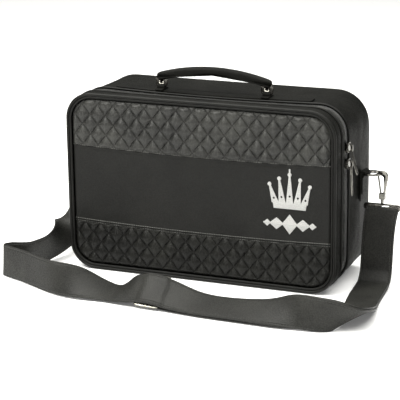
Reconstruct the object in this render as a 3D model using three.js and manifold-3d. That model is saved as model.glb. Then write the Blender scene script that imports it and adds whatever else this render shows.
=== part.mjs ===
// Soft leather carrying bag with a quilted front, a zip round the lid, a roll handle on two rings
// and a shoulder strap on two snap hooks. Millimetres, +Z up, -Y is the quilted front,
// origin at the centre of the base.
import * as THREE from 'three';
import { mergeVertices } from 'three/addons/utils/BufferGeometryUtils.js';
import Module from 'manifold-3d';

const wasm = await Module();
wasm.setup();

// Driving dimensions
const bagWidth = 390;
const bagHeight = 250;
const bagDepth = 140;
const gap = 0.3;
const leather = 2.5;
const backLeather = 2.6;
const frontRadius = 38;
const backRadius = 45;
const backRoll = 7;
const topSag = 6;
const sideBulge = 5;

// Lid and zip
const lidDepth = 17.5;
const zipWidth = 30;
const tapeThickness = 1.2;
const tapeRecess = 2.6;
const pipingRadius = 2.1;
const edgeRollRadius = 1.8;
const coilWidth = 5;
const coilHeight = 1.7;
const zipEndHeight = 38;

// Front panels
const panelThickness = 3.2;
const seamHigh = 0.709;
const seamLow = 0.272;
const seamBow = 4;
const diamondWidth = 23.5;
const diamondHeight = 31;
const quiltPuff = 2.4;
const seamSort = 6;
const quiltMargin = 4;
const emblemThickness = 0.9;
const crownWidth = 62;
const crownHeight = 52;
const emblemX = 130;
const crownFoot = 114;
const ornamentWidth = 74;
const ornamentHeight = 27;
const ornamentMiddle = 93;

// Carrying handle
const handleSpan = 154;
const handleBehindLid = 9;
const handleWire = 1.5;
const handleRingWidth = 18;
const handleRingHeight = 17;
const gripRadius = 6.3;
const gripRise = 13;
const baseStripLength = 284;
const baseStripWidth = 17;
const baseStripThickness = 2;
const tabWidth = 11;
const tabThickness = 1.8;

// Zip pulls
const sliderHigh = 196;
const sliderSpacing = 22;
const sliderHeights = [sliderHigh, sliderHigh - sliderSpacing];
const sliderLength = 13;
const sliderWidth = 9;
const sliderThickness = 4.5;
const bridgeWidth = 2.2;
const bridgeThickness = 1.2;
const bridgeSink = 0.5;
const pinSlack = 1.2;
const pullLengths = [34, 40];
const pullWidth = 7;
const pullWire = 1.1;
const pullLean = [14, 2];

// Side hardware
const ringWire = 1.6;
const hookY = 16;
const dRingReach = 30;
const dRingWidth = 27;
const dRingHeight = 149;
const anchorWidth = 30;
const anchorHeight = 38;
const anchorThickness = 2.2;
const anchorTaper = 0.66;
const anchorSeat = 0.6;
const anchorStitchDrop = 3;
const anchorFoldShort = 10;
const hookEyeWidth = 17;
const gateShare = 0.75;
const hookHeight = 32;
const hookWire = 1.7;
const hookBox = 8;
const swivelLength = 6;
const swivelRadius = 2.2;
const strapRingWidth = 52;
const strapRingHeight = 11;

// Shoulder strap
const strapWidth = 44;
const strapThickness = 2.6;
const layerGap = 0.5;
const sliderBar = 1.6;
const adjusterLength = 27;

const halfWidth = bagWidth / 2;
const halfDepth = bagDepth / 2;
const frontY = -halfDepth;
const lidBackY = frontY + lidDepth;
const bodyFrontY = lidBackY + zipWidth;
const handleY = bodyFrontY + handleBehindLid;
const tapeOuter = -tapeRecess;

const group = new THREE.Group();

function material(color, roughness, metalness) {
  return new THREE.MeshStandardMaterial({ color, roughness, metalness });
}

const blackLeather = material(0x2e2e2c, 0.55, 0);
const quiltLeather = material(0x383836, 0.6, 0);
const pipingLeather = material(0x262624, 0.5, 0);
const strapLeather = material(0x30302e, 0.55, 0);
const zipCloth = material(0x141414, 0.9, 0);
const gunmetal = material(0x8a8a88, 0.3, 1);
const silverThread = material(0xd8d8d6, 0.45, 0.2);

function vec(x, y, z) {
  return new THREE.Vector3(x, y, z);
}

function flipIfInside(positions, faces) {
  let volume = 0;
  for (const [a, b, c] of faces) {
    volume += positions[a].dot(positions[b].clone().cross(positions[c]));
  }
  return volume < 0 ? faces.map(([a, b, c]) => [a, c, b]) : faces;
}

function closedGeometry(positions, faces) {
  const geometry = new THREE.BufferGeometry();
  const flat = positions.flatMap((p) => [p.x, p.y, p.z]);
  geometry.setAttribute('position', new THREE.Float32BufferAttribute(flat, 3));
  geometry.setIndex(flipIfInside(positions, faces).flat());
  return geometry;
}

function add(name, geometry, look) {
  const mesh = new THREE.Mesh(geometry, look);
  mesh.name = name;
  group.add(mesh);
  return mesh;
}

// Rings of equal point counts are joined in order. An open row of rings gets a cap at each end.
// Each quad is split from its ring's point i, or from point i + 1 where turned says so.
function loft(rings, closed = false, turned = () => false) {
  const count = rings[0].length;
  const positions = rings.flat();
  const faces = [];
  const last = closed ? rings.length : rings.length - 1;
  for (let r = 0; r < last; r += 1) {
    const next = (r + 1) % rings.length;
    for (let i = 0; i < count; i += 1) {
      const j = (i + 1) % count;
      const [a, b, c, d] = [r * count + i, r * count + j, next * count + j, next * count + i];
      if (turned(r, i)) faces.push([a, b, d], [b, c, d]);
      else faces.push([a, b, c], [a, c, d]);
    }
  }
  if (!closed) {
    for (const [ring, flip] of [[0, true], [rings.length - 1, false]]) {
      const middle = positions.length;
      const sum = rings[ring].reduce((s, p) => s.add(p), vec(0, 0, 0));
      positions.push(sum.divideScalar(count));
      for (let i = 0; i < count; i += 1) {
        const a = ring * count + i;
        const b = ring * count + (i + 1) % count;
        faces.push(flip ? [middle, b, a] : [middle, a, b]);
      }
    }
  }
  return closedGeometry(positions, faces);
}

// A frame is an origin with two section directions. The section is a list of [u, v] pairs.
function sweep(frames, section, closed = false, turned = () => false) {
  const rings = frames.map(({ o, u, v }) => section.map(([a, b]) => (
    o.clone().addScaledVector(u, a).addScaledVector(v, b))));
  return loft(rings, closed, turned);
}

function roundSection(radius, sides) {
  return Array.from({ length: sides }, (_, i) => {
    const angle = (2 * Math.PI * (i + 0.5)) / sides;
    return [radius * Math.cos(angle), radius * Math.sin(angle)];
  });
}

function boxSection(low, high, from, to) {
  return [[low, from], [high, from], [high, to], [low, to]];
}

function toManifold(geometry) {
  const bare = geometry.clone();
  bare.deleteAttribute('normal');
  bare.deleteAttribute('uv');
  const merged = mergeVertices(bare, 1e-4);
  return new wasm.Manifold(new wasm.Mesh({
    numProp: 3,
    vertProperties: new Float32Array(merged.attributes.position.array),
    triVerts: new Uint32Array(merged.index.array),
  }));
}

function fromManifold(solid) {
  const mesh = solid.getMesh();
  const geometry = new THREE.BufferGeometry();
  geometry.setAttribute('position', new THREE.Float32BufferAttribute(mesh.vertProperties, 3));
  geometry.setIndex(Array.from(mesh.triVerts));
  return geometry;
}

// Shape of the bag across its depth, as shares of the sag, the bulge and the corner radii
const depthForm = [
  { depth: 0.0, sag: 0.0, bulge: 0.0, back: 0.0 },
  { depth: 0.12, sag: 0.25, bulge: 0.1, back: 0.1 },
  { depth: 0.34, sag: 0.75, bulge: 0.35, back: 0.4 },
  { depth: 0.6, sag: 1.0, bulge: 1.0, back: 0.7 },
  { depth: 0.85, sag: 0.6, bulge: 0.7, back: 1.0 },
  { depth: 1.0, sag: 0.0, bulge: 0.0, back: 1.0 },
];

function formAt(y) {
  const share = THREE.MathUtils.clamp((y - frontY) / bagDepth, 0, 1);
  const next = Math.max(1, depthForm.findIndex((row) => row.depth >= share));
  const [a, b] = [depthForm[next - 1], depthForm[next]];
  const t = (share - a.depth) / (b.depth - a.depth);
  const mix = (key) => THREE.MathUtils.lerp(a[key], b[key], t);
  return { sag: mix('sag') * topSag, bulge: mix('bulge') * sideBulge, back: mix('back') };
}

// Points of the bag's outline at depth y, moved outwards by offset, anticlockwise from the base
const cornerSteps = 7;
const edgeShares = [0, 0.2, 0.4, 0.6, 0.8];
function outlineAt(y, offset) {
  const form = formAt(y);
  const radius = THREE.MathUtils.lerp(frontRadius, backRadius, form.back);
  const w = halfWidth - radius;
  const low = radius;
  const high = bagHeight - radius;
  const corners = [
    { x: w, z: low, from: -90 },
    { x: w, z: high, from: 0 },
    { x: -w, z: high, from: 90 },
    { x: -w, z: low, from: 180 },
  ];
  const points = [];
  corners.forEach((corner, k) => {
    for (let i = 0; i < cornerSteps; i += 1) {
      const angle = THREE.MathUtils.degToRad(corner.from + (90 * i) / cornerSteps);
      const normal = new THREE.Vector2(Math.cos(angle), Math.sin(angle));
      points.push({ x: corner.x + radius * normal.x, z: corner.z + radius * normal.y, normal });
    }
    const after = corners[(k + 1) % 4];
    const angle = THREE.MathUtils.degToRad(corner.from + 90);
    const normal = new THREE.Vector2(Math.cos(angle), Math.sin(angle));
    for (const share of edgeShares) {
      points.push({
        x: THREE.MathUtils.lerp(corner.x, after.x, share) + radius * normal.x,
        z: THREE.MathUtils.lerp(corner.z, after.z, share) + radius * normal.y,
        normal,
      });
    }
  });
  return points.map(({ x, z, normal }) => {
    const across = 1 - (x / halfWidth) ** 2;
    const upright = Math.max(0, 1 - (2 * z / bagHeight - 1) ** 2);
    const topShare = Math.max(0, normal.y);
    const sideShare = Math.abs(normal.x);
    return {
      x: x + Math.sign(x) * form.bulge * upright * sideShare + offset * normal.x,
      z: z - form.sag * across * topShare + offset * normal.y,
      normal,
    };
  });
}

function outlineRing(y, offset) {
  return outlineAt(y, offset).map(({ x, z }) => vec(x, y, z));
}

// A ring of wall that follows the outline between two depths
function wallRing(fromY, toY, inner, outer) {
  return loft([
    outlineRing(fromY, outer),
    outlineRing(toY, outer),
    outlineRing(toY, inner),
    outlineRing(fromY, inner),
  ], true);
}

// The roll of a piped edge lies flat where the bag stands on it
function pipingRing(y, offset, radius, sides) {
  const rings = roundSection(radius, sides).map(([a, b]) => (
    outlineRing(y + b, offset + a).map((p) => p.setZ(Math.max(p.z, 0)))));
  return loft(rings, true);
}

// Body: a tub that is open to the front, with a soft rolled back edge
const bodyStations = [0.6, 0.85];
function bodyShell() {
  const rolled = (turn) => {
    const angle = THREE.MathUtils.degToRad(turn);
    const y = halfDepth - backRoll * (1 - Math.sin(angle));
    return outlineRing(y, -backRoll * (1 - Math.cos(angle)));
  };
  const middle = bodyStations.map((share) => frontY + bagDepth * share);
  const outer = [90, 60, 30, 0].map(rolled);
  const along = [...middle].reverse().map((y) => outlineRing(y, 0));
  const inner = middle.map((y) => outlineRing(y, -leather));
  return loft([
    ...outer,
    ...along,
    outlineRing(bodyFrontY, 0),
    outlineRing(bodyFrontY, -leather),
    ...inner,
    outlineRing(halfDepth - backRoll, -leather),
    outlineRing(halfDepth - backLeather, -backRoll),
  ]);
}
add('body_shell', bodyShell(), blackLeather);

// Lid side wall, the two piped edges and the zip round the lid
const faceInset = 2 * pipingRadius + gap;
add('lid_gusset', wallRing(frontY + gap, lidBackY, -leather, 0), blackLeather);
add('front_piping', pipingRing(frontY - pipingRadius, -pipingRadius, pipingRadius, 8),
  pipingLeather);
const zipFrontY = lidBackY + gap;
const zipBackY = bodyFrontY - gap;
const zipMiddleY = (zipFrontY + zipBackY) / 2;
add('zipper_tape', wallRing(zipFrontY, zipBackY, tapeOuter - tapeThickness, tapeOuter), zipCloth);
const rollOffset = tapeOuter + edgeRollRadius + gap;
add('lid_piping', pipingRing(zipFrontY + edgeRollRadius, rollOffset, edgeRollRadius, 6),
  pipingLeather);
add('body_piping', pipingRing(zipBackY - edgeRollRadius, rollOffset, edgeRollRadius, 6),
  pipingLeather);

// Open stretch of the outline, from zipEndHeight up one side, over the top and down the other
function zipPath(y, offset) {
  const points = outlineAt(y, offset).filter(({ z, normal }) => (
    z > zipEndHeight || normal.y > 0.1));
  const start = points.findIndex(({ normal, z }) => normal.x > 0.99 && z < bagHeight / 2);
  return [...points.slice(start), ...points.slice(0, start)];
}

function zipStrip(middleY, width, low, high) {
  const base = zipPath(middleY, 0);
  const frames = base.map(({ x, z, normal }) => ({
    o: vec(x, middleY, z),
    u: vec(normal.x, 0, normal.y),
    v: vec(0, 1, 0),
  }));
  return sweep(frames, boxSection(low, high, -width / 2, width / 2));
}
const coilLow = tapeOuter + 2 * gap;
add('zipper_coil', zipStrip(zipMiddleY, coilWidth, coilLow, coilLow + coilHeight), gunmetal);

// Front panels: two quilted bands with a plain one between them
const seamSteps = 12;
function seamZ(share, x) {
  return bagHeight * share - seamBow * (1 - (x / halfWidth) ** 2);
}

function faceOutline(inset, keep) {
  return outlineAt(frontY, -inset).filter(keep).map(({ x, z }) => [x, z]);
}

function seamPoints(share, offset, inset, fromLeft) {
  const xs = Array.from({ length: seamSteps + 1 }, (_, i) => (
    (halfWidth - inset) * (2 * i / seamSteps - 1)));
  const ordered = fromLeft ? xs : xs.reverse();
  return ordered.map((x) => [x, seamZ(share, x) + offset]);
}

function panelShape(name) {
  const inset = faceInset;
  const half = gap / 2;
  let points;
  if (name === 'top') {
    const high = faceOutline(inset, ({ x, z }) => z > seamZ(seamHigh, x) + seamSort);
    points = [...seamPoints(seamHigh, half, inset, true), ...high];
  } else if (name === 'bottom') {
    const low = faceOutline(inset, ({ x, z }) => z < seamZ(seamLow, x) - seamSort);
    points = [...seamPoints(seamLow, -half, inset, false), ...sortFrom(low)];
  } else {
    points = [
      ...seamPoints(seamLow, half, inset, true),
      ...seamPoints(seamHigh, -half, inset, false),
    ];
  }
  return new THREE.Shape(points.map(([x, z]) => new THREE.Vector2(x, z)));
}

// The outline starts at the base, so the bottom panel's points are turned to start at the left
function sortFrom(points) {
  const angle = ([x, z]) => Math.atan2(z - bagHeight, x);
  return [...points].sort((a, b) => angle(a) - angle(b));
}

// Shapes are drawn as x and z on the front, and pushed back from y = front
function frontSlab(shape, front, thickness) {
  const geometry = new THREE.ExtrudeGeometry(shape, { depth: thickness, bevelEnabled: false });
  geometry.rotateX(Math.PI / 2);
  geometry.translate(0, front + thickness, 0);
  return geometry;
}

function quiltField(back, front, fromZ, toZ) {
  const stepX = diamondWidth / 2;
  const stepZ = diamondHeight / 2;
  const columns = 2 * Math.ceil(halfWidth / stepX / 2 + 0.5);
  const low = Math.floor((fromZ - quiltMargin) / stepZ);
  const high = Math.ceil((toZ + quiltMargin) / stepZ);
  const positions = [];
  const index = new Map();
  const vertex = (i, j, side) => {
    const key = `${i},${j},${side}`;
    if (!index.has(key)) {
      index.set(key, positions.length);
      const puff = (i + j) % 2 === 0 ? 0 : quiltPuff;
      positions.push(vec(i * stepX, side ? back : front - puff, j * stepZ));
    }
    return index.get(key);
  };
  const faces = [];
  for (let i = -columns; i < columns; i += 1) {
    for (let j = low; j < high; j += 1) {
      const [a, b, c, d] = [[0, 0], [1, 0], [1, 1], [0, 1]].map(([p, q]) => [i + p, j + q]);
      const split = (i + j) % 2 === 0 ? [[a, b, c], [a, c, d]] : [[a, b, d], [b, c, d]];
      for (const triangle of split) {
        faces.push(triangle.map(([p, q]) => vertex(p, q, 0)));
        faces.push(triangle.map(([p, q]) => vertex(p, q, 1)).reverse());
      }
    }
  }
  const rim = [];
  for (let i = -columns; i < columns; i += 1) rim.push([i, low]);
  for (let j = low; j < high; j += 1) rim.push([columns, j]);
  for (let i = columns; i > -columns; i -= 1) rim.push([i, high]);
  for (let j = high; j > low; j -= 1) rim.push([-columns, j]);
  rim.forEach(([p, q], k) => {
    const [r, s] = rim[(k + 1) % rim.length];
    const [a, b, c, d] = [[p, q, 0], [r, s, 0], [r, s, 1], [p, q, 1]].map((v) => vertex(...v));
    faces.push([b, a, d], [b, d, c]);
  });
  return closedGeometry(positions, faces);
}

const panelFront = frontY - panelThickness + leather;
const panelBack = frontY + leather;
function quiltedPanel(name, fromZ, toZ) {
  const field = toManifold(quiltField(panelBack, panelFront, fromZ, toZ));
  const slab = frontSlab(panelShape(name), panelFront - 2 * quiltPuff,
    panelThickness + 2 * quiltPuff - gap);
  return fromManifold(field.intersect(toManifold(slab)));
}
add('top_panel', quiltedPanel('top', bagHeight * seamHigh - seamBow, bagHeight), quiltLeather);
add('middle_panel', frontSlab(panelShape('middle'), panelFront, panelThickness - gap),
  blackLeather);
add('bottom_panel', quiltedPanel('bottom', 0, bagHeight * seamLow), quiltLeather);

// Silver embroidery on the plain band: a plain crown with an ornament row under it
const emblemFront = panelFront - gap - emblemThickness;
const crownRays = [
  { at: -1, reach: 0.62 },
  { at: -0.52, reach: 0.78 },
  { at: 0, reach: 0.9 },
  { at: 0.52, reach: 0.78 },
  { at: 1, reach: 0.62 },
];

function circlePath(x, z, radius, sides, clockwise = false) {
  const points = Array.from({ length: sides }, (_, i) => {
    const angle = (2 * Math.PI * i) / sides * (clockwise ? -1 : 1);
    return new THREE.Vector2(x + radius * Math.cos(angle), z + radius * Math.sin(angle));
  });
  return new THREE.Path(points);
}

function slabSolid(shape) {
  return toManifold(frontSlab(shape, emblemFront, emblemThickness));
}

function shapeOf(points) {
  return new THREE.Shape(points.map(([x, z]) => new THREE.Vector2(x, z)));
}

function crownSolid() {
  const bandHeight = crownHeight * 0.16;
  const spread = crownWidth * 0.36;
  const band = slabSolid(shapeOf([
    [emblemX - spread, crownFoot],
    [emblemX + spread, crownFoot],
    [emblemX + spread * 1.06, crownFoot + bandHeight],
    [emblemX - spread * 1.06, crownFoot + bandHeight],
  ]));
  let solid = band;
  const ball = crownWidth * 0.045;
  for (const { at, reach } of crownRays) {
    const foot = emblemX + at * spread * 0.9;
    const tip = emblemX + at * crownWidth * 0.455;
    const top = crownFoot + crownHeight * reach;
    const low = crownFoot + bandHeight - 1;
    const ray = shapeOf([[foot - 5, low], [foot + 5, low], [tip + 1, top], [tip - 1, top]]);
    ray.holes.push(circlePath(foot + (tip - foot) * 0.25, low + (top - low) * 0.25, 1.6, 8, true));
    const knob = shapeOf(circlePath(tip, top, ball, 10).getPoints().map(({ x, y }) => [x, y]));
    solid = solid.add(slabSolid(ray)).add(slabSolid(knob));
  }
  const cross = crownFoot + crownHeight * 0.95;
  const arm = crownWidth * 0.05;
  solid = solid.add(slabSolid(shapeOf([
    [emblemX - 1, cross - arm], [emblemX + 1, cross - arm],
    [emblemX + 1, cross + arm * 1.6], [emblemX - 1, cross + arm * 1.6],
  ])));
  return fromManifold(solid);
}
add('crown', crownSolid(), silverThread);

function ornamentSolid() {
  const half = ornamentWidth / 2;
  const tall = ornamentHeight / 2;
  const lozenge = (x, width, height) => slabSolid(shapeOf([
    [x - width, ornamentMiddle], [x, ornamentMiddle - height],
    [x + width, ornamentMiddle], [x, ornamentMiddle + height],
  ]));
  let solid = lozenge(emblemX, tall * 0.8, tall).add(slabSolid(shapeOf([
    [emblemX - half, ornamentMiddle - 1], [emblemX + half, ornamentMiddle - 1],
    [emblemX + half, ornamentMiddle + 1], [emblemX - half, ornamentMiddle + 1],
  ])));
  for (const side of [-1, 1]) {
    solid = solid.add(lozenge(emblemX + side * half * 0.5, tall * 0.75, tall * 0.6));
    solid = solid.add(lozenge(emblemX + side * half * 0.86, tall * 0.4, tall * 0.35));
  }
  return fromManifold(solid);
}
add('ornament', ornamentSolid(), silverThread);

// Closed loop of wire round a path of points in one plane
function wireLoop(points, normal, radius, sides) {
  const count = points.length;
  const frames = points.map((o, i) => {
    const along = points[(i + 1) % count].clone().sub(points[(i + count - 1) % count]).normalize();
    return { o, u: along.clone().cross(normal).normalize(), v: normal };
  });
  return sweep(frames, roundSection(radius, sides), true);
}

// Rounded rectangle of wire, width along u and height along v
function ringPoints(centre, u, v, width, height, corner, steps = 3) {
  const points = [];
  const [w, h] = [width / 2 - corner, height / 2 - corner];
  [[w, -h, -90], [w, h, 0], [-w, h, 90], [-w, -h, 180]].forEach(([x, y, from]) => {
    for (let i = 0; i <= steps; i += 1) {
      const angle = THREE.MathUtils.degToRad(from + (90 * i) / steps);
      points.push(centre.clone()
        .addScaledVector(u, x + corner * Math.cos(angle))
        .addScaledVector(v, y + corner * Math.sin(angle)));
    }
  });
  return points;
}

const alongX = vec(1, 0, 0);
const alongY = vec(0, 1, 0);
const alongZ = vec(0, 0, 1);

// Open tube or strip along points, with a direction of width for each point
function strip(points, widths, section) {
  const frames = points.map((o, i) => {
    const before = points[Math.max(0, i - 1)];
    const after = points[Math.min(points.length - 1, i + 1)];
    const along = after.clone().sub(before).normalize();
    const u = widths[i].clone().addScaledVector(along, -widths[i].dot(along)).normalize();
    return { o, u, v: along.clone().cross(u).normalize() };
  });
  return sweep(frames, section);
}

// Handle: a strip on the top, a tab and a ring at each end, and the padded roll
function topPoints(y) {
  const points = outlineAt(y, 0).filter(({ normal }) => normal.y > 0.97);
  return points.sort((a, b) => a.x - b.x);
}

function topAt(x, y) {
  const points = topPoints(y);
  const next = Math.max(1, points.findIndex((p) => p.x >= x));
  const [a, b] = [points[next - 1], points[next]];
  return THREE.MathUtils.mapLinear(x, a.x, b.x, a.z, b.z);
}

const pivotZ = topAt(handleSpan / 2, handleY) + baseStripThickness + tabThickness
  + handleWire + 5 * gap;
function baseStrip() {
  const half = baseStripLength / 2;
  const inner = topPoints(handleY).map(({ x }) => x).filter((x) => Math.abs(x) < half - 1);
  const points = [-half, ...inner, half].map((x) => (
    vec(x, handleY, topAt(x, handleY) + 2 * gap + baseStripThickness / 2)));
  const hw = baseStripWidth / 2;
  const ht = baseStripThickness / 2;
  return strip(points, points.map(() => alongY), boxSection(-hw, hw, -ht, ht));
}
add('handle_strip', baseStrip(), blackLeather);

const ringCentreZ = pivotZ + (handleRingHeight - 2 * handleWire) / 2;
const ringWireHeight = handleRingHeight - 2 * handleWire;
const gripFoot = ringCentreZ + ringWireHeight / 2;
for (const [name, side] of [['left', -1], ['right', 1]]) {
  const x = side * handleSpan / 2;
  const centre = vec(x, handleY, ringCentreZ);
  const points = ringPoints(centre, alongX, alongZ, handleRingWidth - 2 * handleWire,
    ringWireHeight, 3.2, 2);
  add(`handle_ring_${name}`, wireLoop(points, alongY, handleWire, 8), gunmetal);
  const tabInner = handleWire + 2 * gap;
  const tabOuter = tabInner + tabThickness;
  const floorZ = topAt(x, handleY) + 3 * gap + baseStripThickness;
  const angles = [-30, 0, 30, 60, 90, 120, 150, 180, 210];
  const arc = (radius) => angles.map((turn) => {
    const angle = THREE.MathUtils.degToRad(turn);
    return [radius * Math.cos(angle), radius * Math.sin(angle)];
  });
  const foot = floorZ - pivotZ;
  const outer = [[tabOuter + 7, foot], [tabOuter + 7, foot + tabThickness], ...arc(tabOuter),
    [-tabOuter - 7, foot + tabThickness], [-tabOuter - 7, foot]];
  const tab = new THREE.Shape(outer.map(([y, z]) => new THREE.Vector2(y, z)));
  tab.holes.push(circlePath(0, 0, tabInner, 12, true));
  const geometry = new THREE.ExtrudeGeometry(tab, { depth: tabWidth, bevelEnabled: false });
  geometry.rotateX(Math.PI / 2);
  geometry.rotateZ(Math.PI / 2);
  geometry.translate(x - tabWidth / 2, handleY, pivotZ);
  add(`handle_tab_${name}`, geometry, blackLeather);
}

function grip() {
  const half = handleSpan / 2;
  const wrap = handleWire + gap + 0.2;
  const steps = 14;
  const points = Array.from({ length: steps + 1 }, (_, i) => {
    const t = 2 * i / steps - 1;
    return vec(t * (half + 7), handleY, gripFoot + gripRise * (1 - t ** 2) - 1);
  });
  const roll = toManifold(strip(points, points.map(() => alongY), roundSection(gripRadius, 12)));
  let solid = roll;
  for (const side of [-1, 1]) {
    const centre = vec(side * half, handleY, ringCentreZ);
    const cut = ringPoints(centre, alongX, alongZ, handleRingWidth - 2 * handleWire,
      ringWireHeight, 3.2, 2);
    solid = solid.subtract(toManifold(wireLoop(cut, alongY, wrap, 8)));
  }
  return fromManifold(solid);
}
add('handle_grip', grip(), blackLeather);

// Zip sliders on the right side, each with a wire pull on a cross pin
const sideOut = halfWidth + coilLow + coilHeight + gap;
sliderHeights.forEach((z, k) => {
  const number = k + 1;
  const base = sideOut + formAt(zipMiddleY).bulge;
  const body = new THREE.BoxGeometry(sliderThickness, sliderWidth, sliderLength);
  body.translate(base + sliderThickness / 2, zipMiddleY, z);
  const pinX = base + sliderThickness + pullWire + gap + pinSlack;
  const pinZ = z - sliderLength * 0.2;
  const bridge = strip([
    vec(base + sliderThickness - bridgeSink, zipMiddleY, z + sliderLength * 0.4),
    vec(pinX + 1.6, zipMiddleY, z + sliderLength * 0.25),
    vec(pinX + 2.4, zipMiddleY, z - sliderLength * 0.15),
    vec(pinX + 1.6, zipMiddleY, z - sliderLength * 0.36),
    vec(base + sliderThickness - bridgeSink, zipMiddleY, z - sliderLength * 0.46),
  ], [alongY, alongY, alongY, alongY, alongY],
  boxSection(-bridgeWidth / 2, bridgeWidth / 2, -bridgeThickness / 2, bridgeThickness / 2));
  add(`zip_slider_${number}`, fromManifold(toManifold(body).add(toManifold(bridge))), gunmetal);
  const length = pullLengths[k];
  const lean = THREE.MathUtils.degToRad(pullLean[k]);
  const down = vec(Math.sin(lean), 0, -Math.cos(lean));
  const out = vec(Math.cos(lean), 0, Math.sin(lean));
  const centre = vec(pinX, zipMiddleY, pinZ).addScaledVector(down, length / 2);
  const loop = ringPoints(centre, alongY, down, pullWidth - 2 * pullWire, length, 1.6, 2);
  add(`zip_pull_${number}`, wireLoop(loop, out, pullWire, 6), gunmetal);
});

// Side hardware: anchor, D ring, snap hook with a sprung gate, and the strap's own ring
const hookX = halfWidth + sideBulge + dRingReach;
const strapRingTop = dRingHeight - hookHeight - hookBox / 2 - swivelLength;
const strapRingBottom = strapRingTop - strapRingHeight + 2 * ringWire;
for (const [name, side] of [['left', -1], ['right', 1]]) {
  const sideX = halfWidth + formAt(hookY).bulge;
  const barX = sideX + anchorThickness + gap + ringWire + pinSlack;
  const mirror = (x, y, z) => vec(side * x, y, z);
  const anchorLow = dRingHeight - anchorHeight;
  const inX = sideX + gap + anchorSeat;
  const loopOut = ringWire + gap + anchorThickness;
  const arc = [90, 45, 0, -45, -90].map((turn) => {
    const angle = THREE.MathUtils.degToRad(turn);
    const r = ringWire + gap + anchorThickness / 2;
    return mirror(barX + r * Math.cos(angle), hookY, dRingHeight + r * Math.sin(angle));
  });
  const patch = [
    mirror(inX + anchorThickness / 2, hookY, anchorLow),
    mirror(inX + anchorThickness / 2, hookY, dRingHeight + loopOut * 0.55),
    ...arc,
    mirror(inX + anchorThickness * 1.5 + gap, hookY, dRingHeight - loopOut - anchorStitchDrop),
    mirror(inX + anchorThickness * 1.5 + gap, hookY, anchorLow + anchorFoldShort),
  ];
  const half = anchorWidth / 2;
  const thick = anchorThickness / 2;
  add(`strap_anchor_${name}`, strip(patch, patch.map(() => alongY),
    boxSection(-half * anchorTaper, half * anchorTaper, -thick, thick)), blackLeather);

  const dHalf = dRingWidth / 2;
  const dPoints = [mirror(barX, hookY - dHalf, dRingHeight), mirror(barX, hookY + dHalf, dRingHeight)];
  for (let i = 0; i <= 6; i += 1) {
    const angle = Math.PI / 2 - (Math.PI * i) / 6;
    const reach = hookX - barX;
    dPoints.push(mirror(barX + reach * Math.cos(angle) * 0.6 + reach * 0.4,
      hookY + dHalf * Math.sin(angle), dRingHeight));
  }
  add(`d_ring_${name}`, wireLoop(dPoints, alongZ, ringWire, 8), gunmetal);

  const eyeTop = dRingHeight + ringWire + gap + hookWire;
  const eyeHalf = hookEyeWidth / 2 - hookWire;
  const boxTop = eyeTop - hookHeight + hookWire;
  const boxMiddle = boxTop - hookBox / 2;
  const legHalf = hookBox / 2 - hookWire;
  const eyeCentre = eyeTop - eyeHalf;
  const hookLine = [];
  for (const turn of [150, 120, 90, 60, 30, 0]) {
    const angle = THREE.MathUtils.degToRad(turn);
    hookLine.push(mirror(hookX + eyeHalf * Math.cos(angle), hookY,
      eyeCentre + eyeHalf * Math.sin(angle)));
  }
  hookLine.push(mirror(hookX + eyeHalf * 0.78, hookY, eyeCentre - eyeHalf));
  hookLine.push(mirror(hookX + legHalf, hookY, boxTop - 1));
  const hook = toManifold(strip(hookLine, hookLine.map(() => alongY),
    roundSection(hookWire, 8)));
  const box = new THREE.BoxGeometry(hookBox, hookBox * 0.8, hookBox);
  box.translate(side * hookX, hookY, boxMiddle);
  const shaft = new THREE.CylinderGeometry(swivelRadius, swivelRadius, swivelLength, 12);
  shaft.rotateX(Math.PI / 2);
  const shaftLow = strapRingTop + ringWire + gap;
  shaft.scale(1, 1, (boxMiddle - shaftLow) / swivelLength);
  shaft.translate(side * hookX, hookY, (boxMiddle + shaftLow) / 2);
  add(`snap_hook_${name}`, fromManifold(hook.add(toManifold(box)).add(toManifold(shaft))),
    gunmetal);

  const gateTop = hookLine[0].clone().addScaledVector(alongZ, -hookWire - 3 * gap);
  const gateFoot = mirror(hookX - legHalf, hookY, boxTop + 2 * gap);
  add(`hook_gate_${name}`, strip([gateFoot, gateTop], [alongY, alongY],
    roundSection(hookWire * gateShare, 8)), gunmetal);

  const ringMiddle = (strapRingTop + strapRingBottom) / 2;
  const ringLoop = ringPoints(mirror(hookX, hookY, ringMiddle), alongX, alongZ,
    strapRingWidth - 2 * ringWire, strapRingTop - strapRingBottom, 2.6, 2);
  add(`strap_ring_${name}`, wireLoop(ringLoop, alongY, ringWire, 8), gunmetal);
}

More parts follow.
